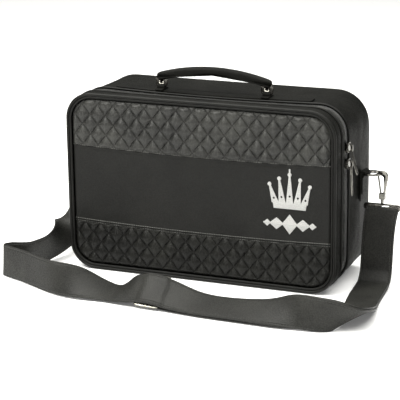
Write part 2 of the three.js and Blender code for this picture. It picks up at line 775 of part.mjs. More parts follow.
// Shoulder strap. The route runs from the right ring to the left one. Its x is a share of half the
// width, y a share of the depth, rise a share of the ring bar's height above rest, and wx, wy and
// wz point across the strap. Between the right ring and the adjuster the strap lies double.
const strapRoute = [
  { x: 1.162, y: 0.114, rise: 1.0, wx: 1, wy: 0, wz: 0 },
  { x: 1.166, y: 0.075, rise: 0.74, wx: 1, wy: 0, wz: 0 },
  { x: 1.169, y: 0.015, rise: 0.44, wx: 1, wy: 0, wz: 0 },
  { x: 1.172, y: -0.03, rise: 0.17, wx: 1, wy: 0, wz: 0 },
  { x: 1.177, y: -0.12, rise: 0.03, wx: 1, wy: 0, wz: 0 },
  { x: 1.187, y: -0.33, rise: 0, wx: 1, wy: 0, wz: 0 },
  { x: 1.215, y: -0.64, rise: 0, wx: 1, wy: -0.03, wz: 0.03 },
  { x: 1.262, y: -0.93, rise: 0, wx: 0.98, wy: -0.08, wz: 0.15 },
  { x: 1.302, y: -1.18, rise: 0, wx: 0.88, wy: -0.22, wz: 0.42 },
  { x: 1.29, y: -1.36, rise: 0, wx: 0.67, wy: -0.33, wz: 0.67 },
  { x: 1.21, y: -1.45, rise: 0, wx: 0.3, wy: -0.1, wz: 0.95 },
  { x: 1.09, y: -1.475, rise: 0, wx: 0, wy: 0.12, wz: 0.99 },
  { x: 0.97, y: -1.45, rise: 0, wx: 0, wy: 0.36, wz: 0.93 },
  { x: 0.8, y: -1.415, rise: 0, wx: 0, wy: 0.83, wz: 0.56 },
  { x: 0.61, y: -1.39, rise: 0, wx: 0, wy: 0.93, wz: 0.37 },
  { x: 0.38, y: -1.375, rise: 0, wx: 0, wy: 0.955, wz: 0.29 },
  { x: 0.19, y: -1.36, rise: 0, wx: 0, wy: 0.93, wz: 0.36 },
  { x: 0.02, y: -1.35, rise: 0.01, wx: 0, wy: 0.77, wz: 0.64 },
  { x: -0.11, y: -1.34, rise: 0.03, wx: 0, wy: 0.76, wz: 0.65 },
  { x: -0.24, y: -1.33, rise: 0.02, wx: 0, wy: 0.76, wz: 0.65 },
  { x: -0.35, y: -1.29, rise: 0, wx: 0, wy: 0.96, wz: 0.28 },
  { x: -0.45, y: -1.275, rise: 0, wx: 0, wy: 0.98, wz: 0.2 },
  { x: -0.57, y: -1.3, rise: 0, wx: 0, wy: 0.86, wz: 0.51 },
  { x: -0.69, y: -1.345, rise: 0, wx: 0, wy: 0.5, wz: 0.87 },
  { x: -0.85, y: -1.34, rise: 0, wx: 0, wy: 0.12, wz: 0.99 },
  { x: -1.05, y: -1.19, rise: 0, wx: 0.05, wy: 0.12, wz: 0.99 },
  { x: -1.23, y: -1.075, rise: 0, wx: 0.02, wy: 0.1, wz: 0.99 },
  { x: -1.34, y: -1.01, rise: 0, wx: 0, wy: 0.1, wz: 1 },
  { x: -1.315, y: -0.93, rise: 0, wx: 0.06, wy: 0.05, wz: 1 },
  { x: -1.21, y: -0.87, rise: 0, wx: 0.16, wy: 0, wz: 0.98 },
  { x: -1.175, y: -0.68, rise: 0, wx: 0.3, wy: 0, wz: 0.95 },
  { x: -1.178, y: -0.46, rise: 0, wx: 0.33, wy: 0, wz: 0.94 },
  { x: -1.172, y: -0.27, rise: 0.07, wx: 0.1, wy: -0.05, wz: 0.98 },
  { x: -1.166, y: -0.11, rise: 0.3, wx: -0.6, wy: -0.4, wz: 0.7 },
  { x: -1.163, y: 0.03, rise: 0.68, wx: -0.97, wy: -0.1, wz: 0.2 },
  { x: -1.162, y: 0.114, rise: 1.0, wx: -1, wy: 0, wz: 0 },
];
const routeSteps = 96;
const adjusterRow = 18;
const layerOffset = (strapThickness + layerGap) / 2;
const loopOffset = ringWire + gap + strapThickness / 2;
const humpOffset = loopOffset + strapThickness + layerGap;

function routeFrames() {
  const clearX = hookX / halfWidth;
  const last = strapRoute.length - 1;
  const rows = strapRoute.map((row, i) => ({
    ...row, x: i === 0 || i === last ? Math.sign(row.x) * clearX : row.x,
    y: i === 0 || i === last ? hookY / bagDepth : row.y,
  }));
  const places = rows.map(({ x, y, rise }) => (
    vec(x * halfWidth, y * bagDepth, rise * strapRingBottom)));
  const across = rows.map(({ wx, wy, wz }) => vec(wx, wy, wz));
  const route = new THREE.CatmullRomCurve3(places, false, 'centripetal');
  const spread = new THREE.CatmullRomCurve3(across, false, 'catmullrom', 0.5);
  const frames = Array.from({ length: routeSteps + 1 }, (_, i) => {
    const t = i / routeSteps;
    return { t, o: route.getPoint(t), w: spread.getPoint(t).normalize() };
  });
  const square = () => frames.forEach((frame, i) => {
    const before = frames[Math.max(0, i - 1)];
    const after = frames[Math.min(routeSteps, i + 1)];
    const along = after.o.clone().sub(before.o).normalize();
    if (i === 0) along.set(0, 0, -1);
    if (i === routeSteps) along.set(0, 0, 1);
    frame.w.addScaledVector(along, -frame.w.dot(along)).normalize();
    frame.n = along.clone().cross(frame.w);
  });
  square();
  const adjusterAt = adjusterRow / last;
  frames.forEach((frame) => {
    const layers = frame.t <= adjusterAt + 0.02 ? layerOffset : 0;
    const reach = strapWidth / 2 * Math.abs(frame.w.z)
      + (layers + strapThickness / 2) * Math.abs(frame.n.z);
    frame.o.z += reach + gap;
  });
  frames[0].o.z = strapRingBottom;
  frames[routeSteps].o.z = strapRingBottom;
  square();
  return frames;
}

function smooth(from, to, share) {
  return THREE.MathUtils.lerp(from, to, THREE.MathUtils.smoothstep(share, 0, 1));
}

const strapFrames = routeFrames();
const adjusterStep = Math.round(routeSteps * adjusterRow / (strapRoute.length - 1));
const ringEase = 4;
const humpEase = 4;

// One layer of the strap: side -1 is the main layer, side 1 the one that returns
function strapLayer(from, to, side, offsetAt) {
  const step = from < to ? 1 : -1;
  const rows = [];
  for (let i = from; i !== to + step; i += step) {
    const { o, w, n } = strapFrames[i];
    rows.push({
      o: o.clone().addScaledVector(n, side * offsetAt(i)),
      u: w,
      v: n.clone().multiplyScalar(side),
      forward: step > 0,
    });
  }
  return rows;
}

function strapLoop(centre, w, n, away, fromSide) {
  return [-60, -30, 0, 30, 60].map((turn) => {
    const angle = THREE.MathUtils.degToRad(turn);
    const v = away.clone().multiplyScalar(Math.cos(angle))
      .addScaledVector(n, -fromSide * Math.sin(angle));
    return { o: centre.clone().addScaledVector(v, loopOffset), u: w, v };
  });
}

function mainOffset(i) {
  const last = strapFrames.length - 1;
  const humped = Math.abs(i - adjusterStep);
  if (i < ringEase) return smooth(loopOffset, layerOffset, i / ringEase);
  if (humped < humpEase) return smooth(humpOffset, layerOffset, humped / humpEase);
  if (i < adjusterStep) return layerOffset;
  if (i > last - ringEase) return smooth(loopOffset, layerOffset, (last - i) / ringEase);
  return layerOffset;
}

function returnOffset(i) {
  if (i < ringEase) return smooth(loopOffset, layerOffset, i / ringEase);
  const near = Math.max(0, adjusterStep - i - 1.5);
  return near < humpEase ? smooth(loopOffset, layerOffset, near / humpEase) : layerOffset;
}

function shoulderStrap() {
  const last = strapFrames.length - 1;
  const [start, end, bar] = [strapFrames[0], strapFrames[last], strapFrames[adjusterStep]];
  const along = bar.w.clone().cross(bar.n);
  const tailFrames = strapLayer(last - ringEase - 1, last, 1, (i) => mainOffset(i));
  const frames = [
    ...tailFrames,
    ...strapLoop(end.o, end.w, end.n, alongZ, -1).reverse(),
    ...strapLayer(last, 0, -1, mainOffset),
    ...strapLoop(start.o, start.w, start.n, alongZ, -1),
    ...strapLayer(0, adjusterStep, 1, returnOffset),
    ...strapLoop(bar.o, bar.w, bar.n, along, 1),
  ];
  const half = strapWidth / 2;
  const thick = strapThickness / 2;
  // Both layers twist alike, so the faces of each are split along the same diagonals
  const turned = (r, i) => (i === 2) === (frames[r].forward === true);
  return sweep(frames, boxSection(-half, half, -thick, thick), false, turned);
}
add('shoulder_strap', shoulderStrap(), strapLeather);

// Three-bar adjuster in the strap: a frame with a bar across its middle
function adjuster() {
  const { o, w, n } = strapFrames[adjusterStep];
  const along = w.clone().cross(n);
  const points = ringPoints(o, w, along, strapRingWidth - 2 * sliderBar,
    adjusterLength - 2 * sliderBar, 2.4, 2);
  const frame = toManifold(wireLoop(points, n, sliderBar, 8));
  const half = strapRingWidth / 2 - sliderBar;
  const ends = [o.clone().addScaledVector(w, -half), o.clone().addScaledVector(w, half)];
  const bar = toManifold(strip(ends, [n, n], roundSection(sliderBar * 0.9, 8)));
  return fromManifold(frame.add(bar));
}
add('strap_adjuster', adjuster(), gunmetal);

export default group;
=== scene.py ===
import math

import bmesh
import bpy
from mathutils import Matrix, Vector, noise


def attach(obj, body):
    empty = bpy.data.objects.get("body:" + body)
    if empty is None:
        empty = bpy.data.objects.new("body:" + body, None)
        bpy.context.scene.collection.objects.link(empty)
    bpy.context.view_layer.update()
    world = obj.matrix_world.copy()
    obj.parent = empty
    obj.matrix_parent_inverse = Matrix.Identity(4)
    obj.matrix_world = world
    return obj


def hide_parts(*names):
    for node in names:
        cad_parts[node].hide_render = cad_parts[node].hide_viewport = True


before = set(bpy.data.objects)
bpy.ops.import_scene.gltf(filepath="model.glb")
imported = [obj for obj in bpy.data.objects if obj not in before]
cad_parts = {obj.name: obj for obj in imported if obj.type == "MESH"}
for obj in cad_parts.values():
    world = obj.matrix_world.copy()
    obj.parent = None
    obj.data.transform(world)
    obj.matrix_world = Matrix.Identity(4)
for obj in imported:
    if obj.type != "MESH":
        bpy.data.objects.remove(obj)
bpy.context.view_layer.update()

mm = 0.001
scene = bpy.context.scene
scene.view_settings.view_transform = "Standard"

# The bag's own sizes, as in the part, in millimetres
bag = {
    "width": 390.0, "height": 250.0, "depth": 140.0, "frontRadius": 38.0, "backRadius": 45.0,
    "backRoll": 7.0, "topSag": 6.0, "sideBulge": 5.0, "leather": 2.5, "lidDepth": 17.5,
    "zipWidth": 30.0, "tapeRecess": 2.6, "gap": 0.3,
}
frontY = -bag["depth"] / 2
backY = bag["depth"] / 2
lidBackY = frontY + bag["lidDepth"]
bodyFrontY = lidBackY + bag["zipWidth"]

# Camera and light, set first
photo = {"lens": 162.5, "azimuth": 23.0, "elevation": 15.75, "distance": 2427.8, "roll": -0.82,
         "target": (1.3, -70.0, 113.8)}


def placeCamera():
    data = bpy.data.cameras.new("camera")
    data.lens = photo["lens"]
    data.sensor_width = 36
    data.sensor_fit = "HORIZONTAL"
    data.clip_start = 0.05
    data.clip_end = 50
    camera = bpy.data.objects.new("camera", data)
    scene.collection.objects.link(camera)
    a, e = math.radians(photo["azimuth"]), math.radians(photo["elevation"])
    back = Vector((math.sin(a) * math.cos(e), -math.cos(a) * math.cos(e), math.sin(e)))
    right = Vector((math.cos(a), math.sin(a), 0))
    up = back.cross(right)
    turn = math.radians(photo["roll"])
    tiltedRight = right * math.cos(turn) + up * math.sin(turn)
    tiltedUp = up * math.cos(turn) - right * math.sin(turn)
    spot = Vector(photo["target"]) * mm + back * photo["distance"] * mm
    axes = Matrix((tiltedRight, tiltedUp, back)).transposed().to_4x4()
    camera.matrix_world = Matrix.Translation(spot) @ axes
    scene.camera = camera


def softLight(name, place, towards, size, power, tint=(1, 1, 1)):
    data = bpy.data.lights.new(name, "AREA")
    data.shape = "RECTANGLE"
    data.size, data.size_y = size
    data.energy = power
    data.color = tint
    lamp = bpy.data.objects.new(name, data)
    scene.collection.objects.link(lamp)
    lamp.location = place
    lamp.rotation_euler = (Vector(towards) - Vector(place)).to_track_quat("-Z", "Y").to_euler()


def studio():
    world = bpy.data.worlds.new("paleStudio")
    world.use_nodes = True
    world.node_tree.nodes["Background"].inputs["Color"].default_value = (1, 1, 1, 1)
    world.node_tree.nodes["Background"].inputs["Strength"].default_value = 0.13
    scene.world = world
    softLight("topLight", (0, -0.2, 1.9), (0, -0.1, 0), (3.6, 3.4), 150, (1, 0.995, 0.955))
    softLight("keyLight", (-0.6, -1.0, 1.5), (0, -0.07, 0.15), (0.7, 0.5), 22, (1, 0.99, 0.94))
    bm = bmesh.new()
    bmesh.ops.create_grid(bm, x_segments=2, y_segments=2, size=6)
    floor = addMesh("studioFloor", bm, paleGlowingFloor(), smooth=False)
    floor.location.z = -0.0004


# Meshes
def addMesh(name, bm, look, smooth=True):
    mesh = bpy.data.meshes.new(name)
    bm.to_mesh(mesh)
    bm.free()
    for face in mesh.polygons:
        face.use_smooth = smooth
    mesh.materials.append(look)
    piece = bpy.data.objects.new(name, mesh)
    scene.collection.objects.link(piece)
    return piece


def settle(piece, body, slotName, *nodes):
    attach(piece, body)
    if nodes:
        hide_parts(*nodes)
    return piece


def refine(piece, levels=2, bevelWidth=0.0):
    if bevelWidth:
        edge = piece.modifiers.new("softEdge", "BEVEL")
        edge.width = bevelWidth * mm
        edge.segments = 2
        edge.limit_method = "ANGLE"
        edge.angle_limit = math.radians(35)
        edge.harden_normals = False
    if levels:
        fine = piece.modifiers.new("fineSurface", "SUBSURF")
        fine.levels = levels
        fine.render_levels = levels


def wall(piece, thickness):
    solid = piece.modifiers.new("leatherWall", "SOLIDIFY")
    solid.thickness = thickness * mm
    solid.offset = -1.0


def copyOfNode(node):
    bm = bmesh.new()
    bm.from_mesh(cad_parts[node].data)
    bmesh.ops.remove_doubles(bm, verts=bm.verts, dist=0.00002)
    return bm


def roundedCopy(node, look, body, slotName, levels=2, bevelWidth=0.0, turn=None, grow=None):
    bm = copyOfNode(node)
    if grow:
        centre = sum((vert.co for vert in bm.verts), Vector()) / len(bm.verts)
        bmesh.ops.scale(bm, vec=grow, space=Matrix.Translation(-centre), verts=bm.verts)
    if turn:
        place, degrees = turn
        bmesh.ops.rotate(bm, cent=Vector(place) * mm, verts=bm.verts,
                         matrix=Matrix.Rotation(math.radians(degrees), 3, "Z"))
    bmesh.ops.dissolve_limit(bm, angle_limit=math.radians(1), verts=bm.verts, edges=bm.edges)
    bmesh.ops.join_triangles(bm, faces=[f for f in bm.faces if len(f.verts) == 3],
                             angle_face_threshold=math.radians(30),
                             angle_shape_threshold=math.radians(60))
    piece = addMesh(node + "_finished", bm, look)
    refine(piece, levels, bevelWidth)
    settle(piece, body, slotName, node)


# The bag's outline across its depth, as in the part
depthForm = [
    {"depth": 0.0, "sag": 0.0, "bulge": 0.0, "back": 0.0},
    {"depth": 0.12, "sag": 0.25, "bulge": 0.1, "back": 0.1},
    {"depth": 0.34, "sag": 0.75, "bulge": 0.35, "back": 0.4},
    {"depth": 0.6, "sag": 1.0, "bulge": 1.0, "back": 0.7},
    {"depth": 0.85, "sag": 0.6, "bulge": 0.7, "back": 1.0},
    {"depth": 1.0, "sag": 0.0, "bulge": 0.0, "back": 1.0},
]


def mix(a, b, t):
    return a + (b - a) * t


def ease(t):
    t = min(1.0, max(0.0, t))
    return t * t * (3 - 2 * t)


def formAt(y):
    share = min(1.0, max(0.0, (y - frontY) / bag["depth"]))
    k = next(i for i in range(1, len(depthForm)) if depthForm[i]["depth"] >= share)
    a, b = depthForm[k - 1], depthForm[k]
    t = (share - a["depth"]) / (b["depth"] - a["depth"])
    return {key: mix(a[key], b[key], t) for key in ("sag", "bulge", "back")}


outlineSteps = {"corner": 12, "wide": 40, "tall": 22}


def outlineAt(y, offset):  # x, z and outward normal round the bag at depth y
    form = formAt(y)
    radius = mix(bag["frontRadius"], bag["backRadius"], form["back"])
    w = bag["width"] / 2 - radius
    low, high = radius, bag["height"] - radius
    corners = [(w, low, -90), (w, high, 0), (-w, high, 90), (-w, low, 180)]
    raw = []
    for k, (cx, cz, start) in enumerate(corners):
        for i in range(outlineSteps["corner"]):
            a = math.radians(start + 90 * i / outlineSteps["corner"])
            raw.append((cx + radius * math.cos(a), cz + radius * math.sin(a), math.cos(a), math.sin(a)))
        nx, nz = math.cos(math.radians(start + 90)), math.sin(math.radians(start + 90))
        cx2, cz2, _ = corners[(k + 1) % 4]
        count = outlineSteps["tall" if k % 2 == 0 else "wide"]
        for i in range(count):
            t = i / count
            raw.append((mix(cx, cx2, t) + radius * nx, mix(cz, cz2, t) + radius * nz, nx, nz))
    points = []
    for x, z, nx, nz in raw:
        across = 1 - (x / (bag["width"] / 2)) ** 2
        upright = max(0.0, 1 - (2 * z / bag["height"] - 1) ** 2)
        x += math.copysign(form["bulge"] * bag["sideBulge"] * upright * abs(nx), x)
        z -= form["sag"] * bag["topSag"] * across * max(0.0, nz)
        points.append((x + offset * nx, z + offset * nz, nx, nz))
    return points


# The quilt's diamonds and their puff, shared by its shape and its leather
quilt = {"wide": 23.2, "tall": 27.8, "startX": 14.6, "startZ": 206.0, "puff": 4.6}


# Shader groups and materials
def newGroup(name, inputs, outputs):
    group = bpy.data.node_groups.new(name, "ShaderNodeTree")
    for label, kind, value in inputs:
        socket = group.interface.new_socket(label, in_out="INPUT", socket_type=kind)
        if value is not None:
            socket.default_value = value
    for label, kind in outputs:
        group.interface.new_socket(label, in_out="OUTPUT", socket_type=kind)
    start = group.nodes.new("NodeGroupInput")
    end = group.nodes.new("NodeGroupOutput")
    return group, start, end


def mathNode(tree, operation, a, b=None, clamp=False):
    node = tree.nodes.new("ShaderNodeMath")
    node.operation = operation
    node.use_clamp = clamp
    for k, value in enumerate((a, b)):
        if value is None:
            continue
        if isinstance(value, (int, float)):
            node.inputs[k].default_value = value
        else:
            tree.links.new(value, node.inputs[k])
    return node.outputs[0]


def rangeNode(tree, value, fromLow, fromHigh, low, high):
    node = tree.nodes.new("ShaderNodeMapRange")
    tree.links.new(value, node.inputs["Value"])
    for label, number in (("From Min", fromLow), ("From Max", fromHigh), ("To Min", low), ("To Max", high)):
        if isinstance(number, (int, float)):
            node.inputs[label].default_value = number
        else:
            tree.links.new(number, node.inputs[label])
    return node.outputs["Result"]


def blendNode(tree, factor, a, b):
    # a and b are each a colour's three numbers or a socket
    node = tree.nodes.new("ShaderNodeMix")
    node.data_type = "RGBA"
    tree.links.new(factor, node.inputs["Factor"])
    for label, value in (("A", a), ("B", b)):
        if isinstance(value, tuple):
            node.inputs[label].default_value = (*value, 1)
        else:
            tree.links.new(value, node.inputs[label])
    return node.outputs["Result"]


def leatherGrainGroup():
    # Pebbled grain: rounded cells with fine creases and broad wear
    group, start, end = newGroup(
        "leatherGrain",
        [("Place", "NodeSocketVector", None), ("Pebbles", "NodeSocketFloat", 700.0),
         ("Dark", "NodeSocketColor", (0.02, 0.02, 0.019, 1)),
         ("Light", "NodeSocketColor", (0.05, 0.05, 0.048, 1)),
         ("Roughness", "NodeSocketFloat", 0.5)],
        [("Color", "NodeSocketColor"), ("Roughness", "NodeSocketFloat"), ("Height", "NodeSocketFloat")])
    cells = group.nodes.new("ShaderNodeTexVoronoi")
    cells.feature = "SMOOTH_F1"
    cells.inputs["Smoothness"].default_value = 0.6
    cracks = group.nodes.new("ShaderNodeTexVoronoi")
    cracks.feature = "DISTANCE_TO_EDGE"
    broad = group.nodes.new("ShaderNodeTexNoise")
    broad.inputs["Scale"].default_value = 22
    broad.inputs["Detail"].default_value = 4
    fine = group.nodes.new("ShaderNodeTexNoise")
    fine.inputs["Detail"].default_value = 3
    for node in (cells, cracks, broad, fine):
        group.links.new(start.outputs["Place"], node.inputs["Vector"])
    group.links.new(start.outputs["Pebbles"], cells.inputs["Scale"])
    group.links.new(start.outputs["Pebbles"], cracks.inputs["Scale"])
    group.links.new(mathNode(group, "MULTIPLY", start.outputs["Pebbles"], 2.3), fine.inputs["Scale"])
    pebble = rangeNode(group, cells.outputs["Distance"], 0.15, 0.75, 1.0, 0.0)
    crack = rangeNode(group, cracks.outputs["Distance"], 0.0, 0.12, 0.0, 1.0)
    height = mathNode(group, "MULTIPLY", pebble, crack)
    height = mathNode(group, "ADD", height, mathNode(group, "MULTIPLY", fine.outputs["Fac"], 0.35))
    mask = mathNode(group, "MULTIPLY", height, 0.55)
    wear = rangeNode(group, broad.outputs["Fac"], 0.35, 0.7, -0.15, 0.35)
    mask = mathNode(group, "ADD", mask, wear, clamp=True)
    tone = blendNode(group, mask, start.outputs["Dark"], start.outputs["Light"])
    group.links.new(tone, end.inputs["Color"])
    rough = mathNode(group, "ADD", start.outputs["Roughness"], rangeNode(group, height, 0.0, 1.2, 0.12, -0.1))
    group.links.new(rough, end.inputs["Roughness"])
    group.links.new(height, end.inputs["Height"])
    return group


def stitchGroup():
    # Thread in a sunken line: Across and Along in millimetres
    group, start, end = newGroup(
        "stitchLine",
        [("Across", "NodeSocketFloat", 0.0), ("Along", "NodeSocketFloat", 0.0),
         ("Line", "NodeSocketFloat", 3.0), ("Width", "NodeSocketFloat", 0.9),
         ("Pitch", "NodeSocketFloat", 4.0)],
        [("Thread", "NodeSocketFloat"), ("Groove", "NodeSocketFloat")])
    away = mathNode(group, "SUBTRACT", start.outputs["Across"], start.outputs["Line"])
    away = mathNode(group, "DIVIDE", mathNode(group, "ABSOLUTE", away), start.outputs["Width"])
    groove = rangeNode(group, away, 0.3, 1.6, 1.0, 0.0)
    turn = mathNode(group, "FRACT", mathNode(group, "DIVIDE", start.outputs["Along"], start.outputs["Pitch"]))
    fromMiddle = mathNode(group, "ABSOLUTE", mathNode(group, "SUBTRACT", turn, 0.5))
    dash = mathNode(group, "LESS_THAN", fromMiddle, 0.36)
    thin = rangeNode(group, away, 0.35, 0.6, 1.0, 0.0)
    group.links.new(mathNode(group, "MULTIPLY", dash, thin), end.inputs["Thread"])
    group.links.new(groove, end.inputs["Groove"])
    return group


grainGroup = leatherGrainGroup()
stitchLineGroup = stitchGroup()


def newLook(name):
    look = bpy.data.materials.new(name)
    look.use_nodes = True
    tree = look.node_tree
    return look, tree, tree.nodes["Principled BSDF"]


def objectPlace(tree):
    return tree.nodes.new("ShaderNodeTexCoord").outputs["Object"]


def bumpFrom(tree, bsdf, height, distance):
    bump = tree.nodes.new("ShaderNodeBump")
    bump.inputs["Distance"].default_value = distance * mm
    bump.inputs["Strength"].default_value = 1.0
    tree.links.new(height, bump.inputs["Height"])
    tree.links.new(bump.outputs["Normal"], bsdf.inputs["Normal"])


def placedGrain(tree, pebbles, dark, light, roughness):
    grain = tree.nodes.new("ShaderNodeGroup")
    grain.node_tree = grainGroup
    tree.links.new(objectPlace(tree), grain.inputs["Place"])
    grain.inputs["Pebbles"].default_value = pebbles
    grain.inputs["Dark"].default_value = (*dark, 1)
    grain.inputs["Light"].default_value = (*light, 1)
    grain.inputs["Roughness"].default_value = roughness
    return grain


def leatherLook(name, pebbles=700, dark=(0.0035, 0.0035, 0.003), light=(0.0115, 0.0115, 0.01),
                roughness=0.45, depth=0.12, shine=0.2, stitches=(), thread=(0.15, 0.15, 0.138)):
    # stitches: rows of (line in mm, width, pitch) across the piece's own map
    look, tree, bsdf = newLook(name)
    grain = placedGrain(tree, pebbles, dark, light, roughness)
    color, height = grain.outputs["Color"], grain.outputs["Height"]
    if stitches:
        uv = tree.nodes.new("ShaderNodeUVMap")
        uv.uv_map = "leatherMap"
        parts = tree.nodes.new("ShaderNodeSeparateXYZ")
        tree.links.new(uv.outputs["UV"], parts.inputs["Vector"])
        for line, width, pitch in stitches:
            row = tree.nodes.new("ShaderNodeGroup")
            row.node_tree = stitchLineGroup
            tree.links.new(parts.outputs["X"], row.inputs["Across"])
            tree.links.new(parts.outputs["Y"], row.inputs["Along"])
            row.inputs["Line"].default_value = line
            row.inputs["Width"].default_value = width
            row.inputs["Pitch"].default_value = pitch
            dip = mathNode(tree, "MULTIPLY", row.outputs["Groove"], 3.2)
            rise = mathNode(tree, "MULTIPLY", row.outputs["Thread"], 4.2)
            height = mathNode(tree, "ADD", mathNode(tree, "SUBTRACT", height, dip), rise)
            # The stitch groove is darkened towards near black: painted shade in the sunken line
            sunk = mathNode(tree, "MULTIPLY", row.outputs["Groove"], 0.55)
            color = blendNode(tree, sunk, color, (0.008, 0.008, 0.008))
            color = blendNode(tree, row.outputs["Thread"], color, thread)
    tree.links.new(color, bsdf.inputs["Base Color"])
    tree.links.new(grain.outputs["Roughness"], bsdf.inputs["Roughness"])
    bsdf.inputs["Specular IOR Level"].default_value = shine
    bumpFrom(tree, bsdf, height, depth)
    return look


def quiltLook(name, dark, light, shine):
    # Pebbled leather with sunken stitch rows along the diamonds' sides, their colour darkened as painted
    # shade
    look, tree, bsdf = newLook(name)
    grain = placedGrain(tree, 480, dark, light, 0.44)
    parts = tree.nodes.new("ShaderNodeSeparateXYZ")
    tree.links.new(objectPlace(tree), parts.inputs["Vector"])
    across = mathNode(tree, "SUBTRACT", parts.outputs["X"], quilt["startX"] * mm)
    across = mathNode(tree, "DIVIDE", across, quilt["wide"] / 2 * mm)
    upward = mathNode(tree, "SUBTRACT", parts.outputs["Z"], quilt["startZ"] * mm)
    upward = mathNode(tree, "DIVIDE", upward, quilt["tall"] / 2 * mm)
    height, rows = grain.outputs["Height"], None
    for operation in ("ADD", "SUBTRACT"):
        line = mathNode(tree, operation, across, upward)
        near = mathNode(tree, "PINGPONG", line, 1.0)
        groove = rangeNode(tree, near, 0.02, 0.1, 1.0, 0.0)
        rows = groove if rows is None else mathNode(tree, "MAXIMUM", rows, groove)
    height = mathNode(tree, "SUBTRACT", height, mathNode(tree, "MULTIPLY", rows, 2.0))
    # The seam rows are darkened towards near black: painted shade in the sunken rows
    shade = mathNode(tree, "MULTIPLY", rows, 0.45)
    paint = blendNode(tree, shade, grain.outputs["Color"], (0.003, 0.003, 0.003))
    tree.links.new(paint, bsdf.inputs["Base Color"])
    rough = mathNode(tree, "ADD", grain.outputs["Roughness"], mathNode(tree, "MULTIPLY", rows, 0.3))
    tree.links.new(rough, bsdf.inputs["Roughness"])
    bsdf.inputs["Specular IOR Level"].default_value = shine
    bumpFrom(tree, bsdf, height, 0.25)
    return look


def metalLook(name, dark, light, roughness):
    look, tree, bsdf = newLook(name)
    place = objectPlace(tree)
    cloud = tree.nodes.new("ShaderNodeTexNoise")
    cloud.inputs["Scale"].default_value = 160
    cloud.inputs["Detail"].default_value = 5
    tree.links.new(place, cloud.inputs["Vector"])
    tone = blendNode(tree, rangeNode(tree, cloud.outputs["Fac"], 0.3, 0.7, 0.0, 1.0), dark, light)
    tree.links.new(tone, bsdf.inputs["Base Color"])
    bsdf.inputs["Metallic"].default_value = 1.0
    tree.links.new(rangeNode(tree, cloud.outputs["Fac"], 0.2, 0.8, roughness - 0.06, roughness + 0.1),
                   bsdf.inputs["Roughness"])
    scratch = tree.nodes.new("ShaderNodeTexNoise")
    scratch.inputs["Scale"].default_value = 900
    tree.links.new(place, scratch.inputs["Vector"])
    bumpFrom(tree, bsdf, scratch.outputs["Fac"], 0.02)
    return look


def wovenTapeLook():
    look, tree, bsdf = newLook("zipTapeCloth")
    uv = tree.nodes.new("ShaderNodeUVMap")
    uv.uv_map = "leatherMap"
    parts = tree.nodes.new("ShaderNodeSeparateXYZ")
    tree.links.new(uv.outputs["UV"], parts.inputs["Vector"])
    weft = mathNode(tree, "SINE", mathNode(tree, "MULTIPLY", parts.outputs["Y"], 9.0))
    warp = mathNode(tree, "SINE", mathNode(tree, "MULTIPLY", parts.outputs["X"], 9.0))
    height = mathNode(tree, "MULTIPLY", weft, warp)
    tone = blendNode(tree, rangeNode(tree, height, -1, 1, 0, 1), (0.006, 0.006, 0.006), (0.02, 0.02, 0.02))
    tree.links.new(tone, bsdf.inputs["Base Color"])
    bsdf.inputs["Roughness"].default_value = 0.85
    bsdf.inputs["Sheen Weight"].default_value = 0.2
    bumpFrom(tree, bsdf, height, 0.1)
    return look


def threadLook():
    look, tree, bsdf = newLook("silverThread")
    place = objectPlace(tree)
    turned = tree.nodes.new("ShaderNodeMapping")
    turned.inputs["Rotation"].default_value = (0, math.radians(38), 0)
    tree.links.new(place, turned.inputs["Vector"])
    satin = tree.nodes.new("ShaderNodeTexWave")
    satin.bands_direction = "X"
    satin.inputs["Scale"].default_value = 420
    satin.inputs["Distortion"].default_value = 1.5
    tree.links.new(turned.outputs["Vector"], satin.inputs["Vector"])
    # The satin bands run from dark to light: the stitch pattern, with painted sheen along its bands
    tone = blendNode(tree, satin.outputs["Fac"], (0.22, 0.22, 0.212), (0.64, 0.64, 0.625))
    tree.links.new(tone, bsdf.inputs["Base Color"])
    tree.links.new(rangeNode(tree, satin.outputs["Fac"], 0, 1, 0.5, 0.32), bsdf.inputs["Roughness"])
    bsdf.inputs["Sheen Weight"].default_value = 0.3
    bumpFrom(tree, bsdf, satin.outputs["Fac"], 0.12)
    return look


def paleGlowingFloor():
    look, tree, bsdf = newLook("paleGlowingFloor")
    cloud = tree.nodes.new("ShaderNodeTexNoise")
    cloud.inputs["Scale"].default_value = 3
    tree.links.new(objectPlace(tree), cloud.inputs["Vector"])
    tone = blendNode(tree, cloud.outputs["Fac"], (0.93, 0.93, 0.93), (0.95, 0.95, 0.95))
    tree.links.new(tone, bsdf.inputs["Base Color"])
    bsdf.inputs["Roughness"].default_value = 0.9
    # The floor glows faintly: painted light that lifts the shadows on it and on the bag's low parts
    bsdf.inputs["Emission Color"].default_value = (1, 1, 1, 1)
    bsdf.inputs["Emission Strength"].default_value = 0.12
    return look


plainLeather = leatherLook("blackLeather", roughness=0.55, shine=0.07)
edgeLeather = leatherLook("rolledLeather", pebbles=1100, roughness=0.42, depth=0.05, shine=0.16)
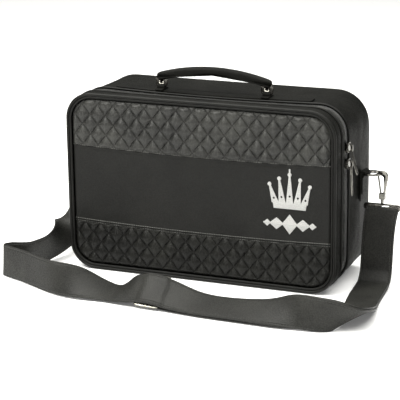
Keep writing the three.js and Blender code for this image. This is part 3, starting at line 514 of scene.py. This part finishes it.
# The two quilts use copies of one leather: the top copy is painted lighter as painted highlight, the low copy
# painted darker as painted shade
paintedLightQuiltLeather = quiltLook("quiltedLeather", (0.005, 0.005, 0.0043), (0.04, 0.04, 0.0345), 0.45)
paintedShadeQuiltLeather = quiltLook("shadedQuiltLeather", (0.0025, 0.0025, 0.002), (0.013, 0.013, 0.0105), 0.22)
strapFace = leatherLook("strapLeather", pebbles=620, dark=(0.008, 0.008, 0.007), light=(0.03, 0.03, 0.0262),
                        roughness=0.46, depth=0.2, shine=0.25, thread=(0.045, 0.045, 0.04),
                        stitches=((-19.4, 0.9, 3.6), (19.4, 0.9, 3.6)))
darkNickel = metalLook("darkNickel", (0.06, 0.058, 0.053), (0.24, 0.232, 0.21), 0.2)
paleNickel = metalLook("paleNickel", (0.1, 0.097, 0.085), (0.34, 0.33, 0.29), 0.25)
teethMetal = metalLook("zipTeeth", (0.03, 0.03, 0.03), (0.09, 0.09, 0.085), 0.35)
tapeCloth = wovenTapeLook()
silverThread = threadLook()

placeCamera()
studio()
print("stage: camera, light and materials")


# A fine sheet from a grid: place(u, v) gives a point and its (across, along) map, in millimetres
def sheetOf(columns, rows, place, looped=False, flip=False, merge=0.00001):
    bm = bmesh.new()
    bmesh.ops.create_grid(bm, x_segments=columns, y_segments=rows, size=0.5)
    layer = bm.loops.layers.uv.new("leatherMap")
    made = {vert: place(vert.co.x + 0.5, vert.co.y + 0.5) for vert in bm.verts}
    for face in bm.faces:
        for loop in face.loops:
            loop[layer].uv = made[loop.vert][1]
    for vert, (point, _) in made.items():
        vert.co = Vector(point) * mm
    if looped:
        bmesh.ops.remove_doubles(bm, verts=bm.verts, dist=merge)
    if flip:
        bmesh.ops.reverse_faces(bm, faces=bm.faces)
    return bm


outlineCount = 4 * outlineSteps["corner"] + 2 * outlineSteps["wide"] + 2 * outlineSteps["tall"]
outlineRuns = {}


def outlineRun(y, offset):
    key = (round(y, 3), round(offset, 3))
    if key not in outlineRuns:
        points = outlineAt(y, offset)
        run, total = [0.0], 0.0
        for a, b in zip(points, points[1:] + points[:1]):
            total += math.hypot(b[0] - a[0], b[1] - a[1])
            run.append(total)
        outlineRuns[key] = points, run
    return outlineRuns[key]


# A ring that follows the bag's outline. A profile row is (depth, outward, across map), in mm
def ringSheet(name, profile, look, shape=None):
    last = len(profile) - 1

    def place(u, v):
        y, out, across = profile[round(v * last)]
        points, run = outlineRun(y, out)
        k = round(u * outlineCount)
        x, z, nx, nz = points[k % outlineCount]
        point = Vector((x, y, z))
        if shape:
            point = shape(point, Vector((nx, 0, nz)), run[k], across)
        return point, (across, run[k])
    return addMesh(name, sheetOf(outlineCount, last, place, looped=True, flip=True), look)


def lump(point, scale, seed=0.0):
    return noise.noise(Vector((point.x / scale + seed, point.y / scale, point.z / scale)))


# Body: side walls with the soft rolled back edge and the back panel
body = {
    "rows": 26, "roll": 8, "backRows": 14, "lump": 0.9, "fine": 0.35, "crease": 0.54, "hollow": 0.33,
    "flatEdge": 14, "wallRun": 91, "seamAt": 92.5, "seamWide": 1.3, "seamDip": 0.9, "foot": 14,
}


def bodyProfile():
    rows = []
    straight = backY - bag["backRoll"]
    for k in range(body["rows"]):
        y = mix(bodyFrontY, straight, k / body["rows"])
        rows.append((y, 0.0, y - bodyFrontY))
    run = straight - bodyFrontY
    for k in range(body["roll"] + 1):
        turn = math.radians(90 * k / body["roll"])
        rows.append((straight + bag["backRoll"] * math.sin(turn), -bag["backRoll"] * (1 - math.cos(turn)),
                     run + bag["backRoll"] * turn))
    return rows


def softWall(point, out, run, across):
    share = ease(across / body["flatEdge"]) * ease((body["wallRun"] - across) / body["flatEdge"])
    resting = ease((point.z - 1) / body["foot"])
    push = body["lump"] * lump(point, 46, 3.1) + body["fine"] * lump(point, 13, 8.0)
    push -= body["crease"] * max(0.0, 1 - abs(lump(point, 60, 21.0)) / 0.07)
    moved = point + out * push * share * resting
    groove = math.exp(-((across - body["seamAt"]) / body["seamWide"]) ** 2)
    moved -= out * body["seamDip"] * groove
    moved.z = max(moved.z, 0.0)
    return moved


def backPanel(profile):
    y, out, edgeAcross = profile[-1]
    points, _ = outlineRun(y, out)
    centre = Vector((0, y, bag["height"] / 2))
    rows = body["backRows"]

    def place(u, v):
        k = round(u * outlineCount)
        x, z, _, _ = points[k % outlineCount]
        edge = softWall(Vector((x, y, z)), Vector((0, 0, 0)), 0, edgeAcross)
        point = edge.lerp(centre, v)
        sink = ease(v * rows / 3)
        point.y -= body["hollow"] * sink * (1 + lump(point, 60, 5.0))
        return point, (point.x, point.z)
    return sheetOf(outlineCount, rows, place, looped=True, flip=True, merge=0.0008)


bodyRows = bodyProfile()
bodyPiece = ringSheet("bodyLeather", bodyRows, plainLeather, softWall)
joined = bmesh.new()
joined.from_mesh(bodyPiece.data)
back = bpy.data.meshes.new("backPanelSheet")
backSheet = backPanel(bodyRows)
backSheet.to_mesh(back)
backSheet.free()
joined.from_mesh(back)
bmesh.ops.remove_doubles(joined, verts=joined.verts, dist=0.0002)
joined.to_mesh(bodyPiece.data)
joined.free()
for face in bodyPiece.data.polygons:
    face.use_smooth = True
wall(bodyPiece, bag["leather"])
refine(bodyPiece, levels=1)
settle(bodyPiece, "root", "black_leather", "body_shell")
print("stage: body")


# Lid: the rolled edges and the narrow side wall between them
lid = {
    "pipingRadius": 2.2, "secondRadius": 1.9, "secondAhead": 1.6, "secondIn": 6.0, "rollRadius": 1.8,
    "sides": 14, "crimp": 0.048, "seamEase": 4, "seamDip": 1.2, "swell": 1.3, "lump": 0.5, "rows": 9,
}
tapeOuter = -bag["tapeRecess"]
zipFrontY = lidBackY + bag["gap"]
zipBackY = bodyFrontY - bag["gap"]
rollOut = tapeOuter + lid["rollRadius"] + bag["gap"]


def edgeRoll(name, middleY, out, radius, *nodes):
    def crimped(point, outward, run, across):
        moved = point + outward * lid["crimp"] * radius * lump(Vector((run, 0, 0)), 9, middleY)
        moved.z = max(moved.z, 0.0)
        return moved
    profile = []
    for k in range(lid["sides"] + 1):
        turn = 2 * math.pi * k / lid["sides"]
        profile.append((middleY + radius * math.sin(turn), out + radius * math.cos(turn), radius * turn))
    piece = ringSheet(name, profile, edgeLeather, crimped)
    bm = bmesh.new()
    bm.from_mesh(piece.data)
    bmesh.ops.remove_doubles(bm, verts=bm.verts, dist=0.00001)
    bm.to_mesh(piece.data)
    bm.free()
    refine(piece, levels=1)
    settle(piece, "root", "piping", *nodes)


edgeRoll("frontEdgeRoll", frontY - lid["pipingRadius"], -lid["pipingRadius"], lid["pipingRadius"],
         "front_piping")
edgeRoll("frontSecondRoll", frontY - lid["secondAhead"], -lid["secondIn"], lid["secondRadius"])
edgeRoll("lidEdgeRoll", zipFrontY + lid["rollRadius"], rollOut, lid["rollRadius"], "lid_piping")
edgeRoll("bodyEdgeRoll", zipBackY - lid["rollRadius"], rollOut, lid["rollRadius"], "body_piping")

gussetLow = frontY + bag["gap"]
gussetRun = lidBackY - gussetLow


def gussetShape(point, outward, run, across):
    share = ease(across / lid["seamEase"]) * ease((gussetRun - across) / lid["seamEase"])
    moved = point + outward * (share * (lid["swell"] + lid["lump"] * lump(point, 30, 1.7)) - lid["seamDip"])
    moved.z = max(moved.z, 0.0)
    return moved


def flatRows(low, high, out, count):
    return [(mix(low, high, k / count), out, (high - low) * k / count) for k in range(count + 1)]


gussetRows = flatRows(gussetLow, lidBackY, 0.0, lid["rows"])
gusset = ringSheet("lidSideWall", gussetRows, plainLeather, gussetShape)
wall(gusset, bag["leather"])
refine(gusset, levels=1)
settle(gusset, "root", "black_leather", "lid_gusset")

zipTapeForm = {"rows": 8, "thick": 1.2}
tapeRows = flatRows(zipFrontY, zipBackY, tapeOuter, zipTapeForm["rows"])
tape = ringSheet("zipTape", tapeRows, tapeCloth)
wall(tape, zipTapeForm["thick"])
settle(tape, "root", "zip_cloth", "zipper_tape")
print("stage: lid, rolled edges and tape")


# Zip teeth: one ridged strip along the open stretch of the outline
teeth = {"endHeight": 38.0, "width": 5.0, "height": 1.7, "pitch": 1.9, "low": tapeOuter + 0.6, "dip": 0.62}
zipMiddleY = (zipFrontY + zipBackY) / 2


def zipPath():
    points, _ = outlineRun(zipMiddleY, 0.0)
    kept = [p for p in points if p[1] > teeth["endHeight"] or p[3] > 0.1]
    start = next(i for i, p in enumerate(kept) if p[2] > 0.99 and p[1] < bag["height"] / 2)
    return kept[start:] + kept[:start]


def evenly(points, pitch):
    # Resamples a path of tuples so that its rows are pitch apart
    runs = [0.0]
    for a, b in zip(points, points[1:]):
        runs.append(runs[-1] + math.hypot(b[0] - a[0], b[1] - a[1]))
    count = max(2, round(runs[-1] / pitch))
    out, k = [], 0
    for i in range(count + 1):
        at = runs[-1] * i / count
        while k < len(runs) - 2 and runs[k + 1] < at:
            k += 1
        t = (at - runs[k]) / max(1e-9, runs[k + 1] - runs[k])
        out.append((tuple(mix(a, b, t) for a, b in zip(points[k], points[k + 1])), at))
    return out


def teethPiece():
    rows = evenly(zipPath(), teeth["pitch"] / 4)
    half, tall, low = teeth["width"] / 2, teeth["height"], teeth["low"]
    section = [(-half, 0), (-half, 0.6), (-half * 0.7, 0.9), (-0.35, 1.0), (0.0, 0.8), (0.35, 1.0),
               (half * 0.7, 0.9), (half, 0.6), (half, 0)]
    last = len(rows) - 1

    def place(u, v):
        k = round(v * last)
        (x, z, nx, nz), run = rows[k]
        a, h = section[round(u * (len(section) - 1))]
        step = (k if a < 0 else k + 2) % 4
        reach = low + tall * h * (1.0 if step in (1, 2) else teeth["dip"])
        return Vector((x + nx * reach, zipMiddleY + a, z + nz * reach)), (a, run)
    return addMesh("zipTeeth", sheetOf(len(section) - 1, last, place), teethMetal)


settle(teethPiece(), "root", "gunmetal", "zipper_coil")
print("stage: zip teeth")


# Front panels: two quilted bands and the plain band between them
panel = {
    "high": 0.709, "low": 0.272, "bow": 4.0, "thick": 3.2, "inset": 8.8, "corner": 29.2,
    "columns": 380, "quiltRows": 76, "plainRows": 70, "sheet": 2.2, "seamGap": 0.15, "slack": 0.35,
    "tuck": 0.9, "tuckRun": 2.2, "rimRun": 5, "seamRun": 4, "seamPuff": 0.55, "puffPower": 0.85,
}
panelFront = frontY - panel["thick"] + bag["leather"]
panelHalf = bag["width"] / 2 - panel["inset"]


def seamHeight(share, x):
    return bag["height"] * share - panel["bow"] * (1 - (2 * x / bag["width"]) ** 2)


def rimHeight(x, top):
    reach = max(0.0, abs(x) - (panelHalf - panel["corner"]))
    drop = panel["corner"] - math.sqrt(max(0.0, panel["corner"] ** 2 - reach ** 2))
    return bag["height"] - panel["inset"] - drop if top else panel["inset"] + drop


def diamondPuff(x, z):
    right = (x - quilt["startX"]) / (quilt["wide"] / 2)
    up = (z - quilt["startZ"]) / (quilt["tall"] / 2)
    fromRows = [abs(line - 2 * round(line / 2)) for line in (right + up, right - up)]
    return math.prod(1 - (1 - away) ** 2.1 for away in fromRows) ** panel["puffPower"]


def quiltPlace(top):
    def place(u, v):
        x = mix(-panelHalf, panelHalf, u)
        seam = seamHeight(panel["high" if top else "low"], x) + math.copysign(panel["seamGap"], top - 0.5)
        rim = rimHeight(x, top)
        low, high = (seam, rim) if top else (rim, seam)
        z = mix(low, high, v)
        toRim = min(panelHalf - abs(x), abs(rim - z))
        corner = abs(x) - (panelHalf - panel["corner"])
        if corner > 0:
            cz = bag["height"] - panel["inset"] - panel["corner"] if top else panel["inset"] + panel["corner"]
            dz = z - cz if top else cz - z
            if dz > 0:
                toRim = panel["corner"] - math.hypot(corner, dz)
        fromSeam = ease(abs(z - seam) / panel["seamRun"])
        rise = ease(toRim / panel["rimRun"]) * mix(panel["seamPuff"], 1.0, fromSeam)
        uneven = 0.92 + 0.25 * lump(Vector((x, 0, z)), 25, 9.0)
        puff = quilt["puff"] * diamondPuff(x, z) * rise * uneven
        slack = panel["slack"] * lump(Vector((x, 0, z)), 60, 2.0) * ease(toRim / 10)
        tuck = panel["tuck"] * (1 - ease(toRim / panel["tuckRun"]))
        return Vector((x, panelFront - puff + slack + tuck, z)), (x, z)
    return place


# The plain band's folded edges lap over the quilts
band = {
    "lap": 1.2, "edge": 2.6, "fold": 1.1, "sunk": 0.9, "grooveDip": 0.45, "grooveAt": 4.2, "grooveWide": 0.8,
    "slack": 0.5, "fine": 0.2, "sideRun": 12, "stitch": (1.0, 3.4), "rim": 1.5, "second": 4.9,
}


def plainPlace(u, v):
    x = mix(-panelHalf, panelHalf, u)
    low = seamHeight(panel["low"], x) - band["lap"]
    high = seamHeight(panel["high"], x) + band["lap"]
    z = mix(low, high, v)
    fromEdge = min(z - low, high - z)
    side = panelHalf - abs(x)
    share = min(1.0, fromEdge / band["edge"])
    fold = band["fold"] * math.sqrt(max(0.0, 1 - (1 - share) ** 2)) - band["sunk"]
    groove = band["grooveDip"] * math.exp(-((fromEdge - band["grooveAt"]) / band["grooveWide"]) ** 2)
    slack = band["slack"] * lump(Vector((x, 0, z)), 75, 4.0) + band["fine"] * lump(Vector((x, 0, z)), 22, 6.0)
    slack *= ease(side / band["sideRun"])
    tuck = panel["tuck"] * (1 - ease(side / panel["tuckRun"]))
    y = panelFront - fold * ease(side / 3) + groove - slack * ease(fromEdge / 10) + tuck
    return Vector((x, y, z)), (z - low, x)


def frontPanel(name, place, rows, look, node, slotName):
    bm = sheetOf(panel["columns"], rows, place)
    piece = addMesh(name, bm, look)
    wall(piece, panel["sheet"])
    return settle(piece, "root", slotName, node)


topQuilt = frontPanel("topQuilt", quiltPlace(True), panel["quiltRows"], paintedLightQuiltLeather, "top_panel",
                      "quilted_leather")
lowQuilt = frontPanel("lowQuilt", quiltPlace(False), panel["quiltRows"], paintedShadeQuiltLeather, "bottom_panel",
                      "quilted_leather")
bandTall = bag["height"] * (panel["high"] - panel["low"]) + 2 * band["lap"]
bandLines = (band["rim"], band["second"], bandTall - band["rim"])
bandLeather = leatherLook("bandLeather", pebbles=620, dark=(0.004, 0.004, 0.0034), light=(0.01, 0.01, 0.0086),
                          roughness=0.44, stitches=[(line, *band["stitch"]) for line in bandLines])
frontPanel("plainBand", plainPlace, panel["plainRows"], bandLeather, "middle_panel", "black_leather")
print("stage: front panels")


# Embroidery: the part's flat shapes with rounded edges
for node in ("crown", "ornament"):
    roundedCopy(node, silverThread, "root", "silver_thread", levels=0, bevelWidth=0.4)

# The strap's section, its smoothing, its turn at the left hook and its sewn end
strap = {
    "wide": 44.0, "thick": 2.6, "edge": 0.9, "columns": 20, "between": 4, "ripple": 0.22, "rippleRun": 19,
    "calm": 2, "held": 7, "leftCalm": 10, "leftHeld": 4, "calmX": -205, "calmFront": -115, "calmBelow": 14,
    "hookX": 226.6, "hookY": 16.0, "leftFrom": -190, "leftTurn": -53, "turnFront": -75, "turnRun": 45,
    "ringReach": 16, "ringRun": 8, "drift": (5.0, 9.0, 0), "driftRun": 60, "driftEnd": 25,
    "foldBefore": -150, "foldShare": 0.62, "foldFrom": -38, "foldRun": 14, "foldTo": 2, "foldDrop": 1.5,
    "foldRise": 2.4,
}

# Handle hardware, zip pulls and side hardware
leftRingTurn = ((-strap["hookX"], strap["hookY"], 0), strap["leftTurn"])
roundedCopy("handle_strip", plainLeather, "root", "black_leather", levels=1, bevelWidth=0.5)
for side in ("left", "right"):
    roundedCopy("handle_tab_" + side, plainLeather, "root", "black_leather", levels=1, bevelWidth=0.4)
    roundedCopy("handle_ring_" + side, darkNickel, "handle", "gunmetal", levels=2)
    roundedCopy("strap_anchor_" + side, plainLeather, "root", "black_leather", levels=2, bevelWidth=0.4)
    roundedCopy("d_ring_" + side, darkNickel, "root", "gunmetal", levels=2)
    roundedCopy("strap_ring_" + side, darkNickel, "root", "gunmetal", levels=2,
                turn=leftRingTurn if side == "left" else None)
    roundedCopy("snap_hook_" + side, darkNickel, "hook_" + side, "gunmetal", levels=2, bevelWidth=0.5)
    roundedCopy("hook_gate_" + side, darkNickel, "gate_" + side, "gunmetal", levels=2, bevelWidth=0.3)
for number, name in (("1", "upper"), ("2", "lower")):
    roundedCopy("zip_slider_" + number, darkNickel, "root", "gunmetal", levels=1, bevelWidth=0.6)
    roundedCopy("zip_pull_" + number, darkNickel, "pull_" + name, "gunmetal", levels=2)
roundedCopy("strap_adjuster", paleNickel, "root", "gunmetal", levels=2, grow=(1.4, 0.98, 0.98))
roundedCopy("handle_grip", plainLeather, "handle", "black_leather", levels=2)
print("stage: hardware")


# Shoulder strap: the part's own route, walked ring by ring from one end, then smoothed and finely cut
def strapRings():
    bm = copyOfNode("shoulder_strap")
    capAway = math.hypot(strap["wide"], strap["thick"]) / 2 * mm
    caps = [v for v in bm.verts if len(v.link_edges) == 4
            and all(abs((e.other_vert(v).co - v.co).length - capAway) < 0.1 * mm for e in v.link_edges)]
    first = caps[0]
    ring = []
    for face in first.link_faces:
        for vert in face.verts:
            if vert is not first and vert not in ring:
                ring.append(vert)
    seen = {first, *ring}
    rings = [[vert.co.copy() for vert in ring]]
    while True:
        near = {e.other_vert(v) for v in ring for e in v.link_edges} - seen
        if len(near) != 4:
            break
        ring = list(near)
        seen |= near
        rings.append([vert.co.copy() for vert in ring])
    bm.free()
    frames = []
    for corners in rings:
        middle = sum(corners, Vector()) / 4
        pairs = sorted(((a, b) for i, a in enumerate(corners) for b in corners[i + 1:]),
                       key=lambda pair: (pair[0] - pair[1]).length)
        across = ((pairs[0][0] + pairs[0][1]) / 2 - middle).normalized()
        if frames and across.dot(frames[-1]["across"]) < 0:
            across = -across
        frames.append({"middle": middle / mm, "across": across})
    return frames


def leftTop(frames):
    return max(one["middle"].z for one in frames if one["middle"].x < strap["leftFrom"])


def turnedAtHook(frames):
    # The left ring hangs turned, so the strap's width turns back behind the bag as it rises
    turn = math.radians(strap["leftTurn"])
    axis = Vector((-strap["hookX"], strap["hookY"], 0))
    top = leftTop(frames)
    for one in frames:
        middle, across = one["middle"], one["across"]
        if middle.x > strap["leftFrom"] or middle.y < strap["turnFront"]:
            continue
        sign = -1 if across.z < across.x else 1
        across = across * sign
        level = math.hypot(across.x, across.y)
        back = Vector((-math.cos(turn) * level, -math.sin(turn) * level, across.z))
        share = ease((middle.y - strap["turnFront"]) / strap["turnRun"])
        one["across"] = across.lerp(back, share).normalized() * sign
        atRing = ease((middle.z - top + strap["ringReach"]) / strap["ringRun"])
        away = Matrix.Rotation(turn * atRing, 3, "Z") @ (middle - axis)
        below = ease((top - strap["ringReach"] - middle.z) / strap["driftEnd"])
        drift = Vector(strap["drift"]) * share * ease(middle.z / strap["driftRun"]) * below
        one["middle"] = axis + away + drift


def calmed(frames):
    top = leftTop(frames)
    for again in range(strap["leftCalm"]):
        kept = [dict(one) for one in frames]
        for before, here, after, out in zip(kept, kept[1:], kept[2:], frames[1:]):
            middle = here["middle"]
            reach = min((middle - before["middle"]).length, (after["middle"] - middle).length)
            atLeft = (middle.x < strap["calmX"] and middle.y > strap["calmFront"]
                      and middle.z < top - strap["calmBelow"])
            held = strap["leftHeld" if atLeft else "held"]
            if reach > held and (atLeft or again < strap["calm"]):
                for key in ("middle", "across"):
                    out[key] = (before[key] + here[key] * 2 + after[key]) / 4


def curved(values, runs, k, t):
    def slope(i):
        low, high = max(0, i - 1), min(len(values) - 1, i + 1)
        return (values[high] - values[low]) / (runs[high] - runs[low])
    span = runs[k + 1] - runs[k]
    a, b = values[k], values[k + 1]
    return (a * (2 * t ** 3 - 3 * t ** 2 + 1) + slope(k) * span * (t ** 3 - 2 * t ** 2 + t)
            + b * (3 * t ** 2 - 2 * t ** 3) + slope(k + 1) * span * (t ** 3 - t ** 2))


def fineStrap(frames):
    middles = [one["middle"] for one in frames]
    sides = [one["across"] for one in frames]
    runs = [0.0]
    for a, b in zip(middles, middles[1:]):
        runs.append(runs[-1] + (b - a).length)
    fine = []
    for k in range(len(frames) - 1):
        for i in range(strap["between"]):
            t = i / strap["between"]
            fine.append([curved(middles, runs, k, t), curved(sides, runs, k, t),
                         mix(runs[k], runs[k + 1], t)])
    fine.append([middles[-1], sides[-1], runs[-1]])
    for i, row in enumerate(fine):
        along = (fine[min(i + 1, len(fine) - 1)][0] - fine[max(i - 1, 0)][0]).normalized()
        row[1] = (row[1] - along * row[1].dot(along)).normalized()
        row.append(along.cross(row[1]))
    return fine, runs[-1]


def strapSection():
    half, thin, edge = strap["wide"] / 2, strap["thick"] / 2, strap["edge"]
    count = strap["columns"]
    face = [(mix(-half + edge, half - edge, k / count), -thin) for k in range(count + 1)]
    end = [(half - edge * 0.3, -thin * 0.7), (half, 0.0), (half - edge * 0.3, thin * 0.7)]
    around = face + end + [(-a, -b) for a, b in face] + [(-a, -b) for a, b in end]
    return around + around[:1]


def strapPiece():
    frames = strapRings()
    turnedAtHook(frames)
    calmed(frames)
    fine, length = fineStrap(frames)
    section = strapSection()
    last, around = len(fine) - 1, len(section) - 1

    def place(u, v):
        middle, across, run, up = fine[round(v * last)]
        a, b = section[round(u * around)]
        point = middle + across * a + up * b
        if abs(b) > strap["thick"] * 0.45:
            point += up * math.copysign(strap["ripple"], b) * lump(point, strap["rippleRun"], 5.0)
        if point.y < strap["foldBefore"] and run < length * strap["foldShare"]:
            sewnEnd = ease((point.x - strap["foldFrom"]) / strap["foldRun"])
            sewnEnd *= 1 - ease((point.x - strap["foldTo"]) / strap["foldDrop"])
            facing = (up * b).dot(Vector((0, -0.5, 1)))
            point += up * math.copysign(strap["foldRise"], b) * sewnEnd * (facing > 0 and abs(b) > 0.5)
        point.z = max(point.z, 0.0)
        return point, (a, run)
    bm = sheetOf(around, last, place, looped=True)
    rim = [edge for edge in bm.edges if edge.is_boundary]
    bmesh.ops.holes_fill(bm, edges=rim, sides=0)
    bmesh.ops.recalc_face_normals(bm, faces=bm.faces)
    piece = addMesh("shoulderStrap", bm, strapFace)
    settle(piece, "root", "strap_leather", "shoulder_strap")


strapPiece()
print("stage: shoulder strap")
